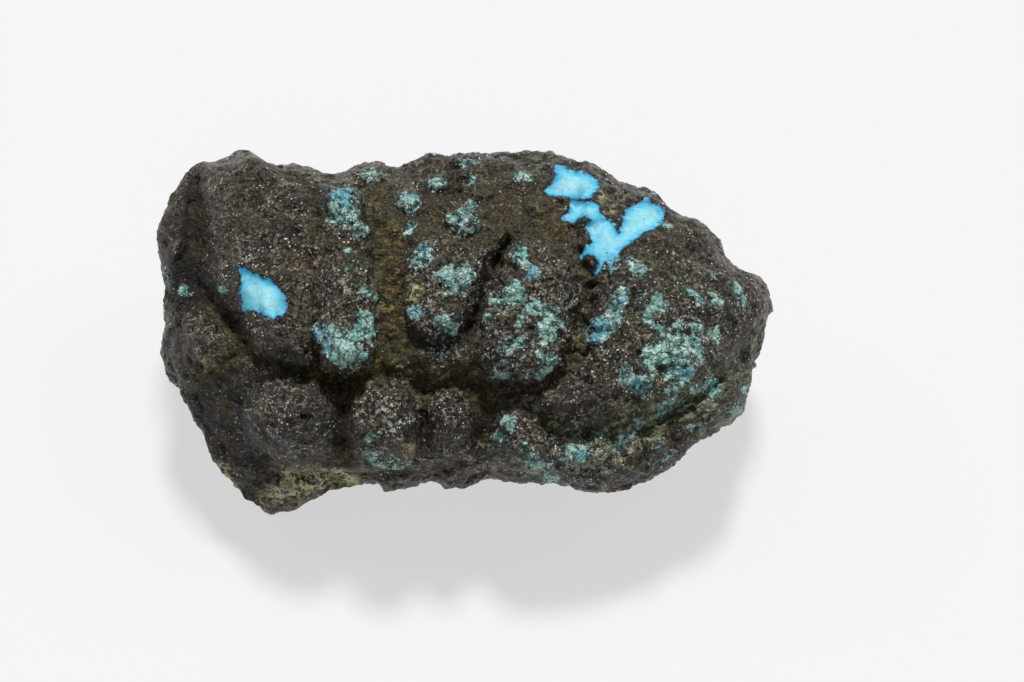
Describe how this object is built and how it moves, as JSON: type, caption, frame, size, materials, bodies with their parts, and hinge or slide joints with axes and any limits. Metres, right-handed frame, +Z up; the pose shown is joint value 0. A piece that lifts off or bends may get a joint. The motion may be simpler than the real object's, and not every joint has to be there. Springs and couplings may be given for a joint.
{
  "type": "turquoise nodule",
  "caption": "Rough turquoise nodule with a dark lobed crust, a deep crack and open windows of sky-blue stone.",
  "frame": {"origin": "centre of the box around the stone, on the ground under it", "axes": "+X to the right along the stone's length, +Y away from the viewer, +Z up"},
  "size_m": [0.1013, 0.0687, 0.0421],
  "materials": {
    "crusted_stone": "dull dark brown-grey crust, pitted, with fine pale glints, blue-green specks and smooth pale-blue windows"
  },
  "bodies": {
    "root": {"turquoise_nodule": "crusted_stone"}
  },
  "joints": []
}
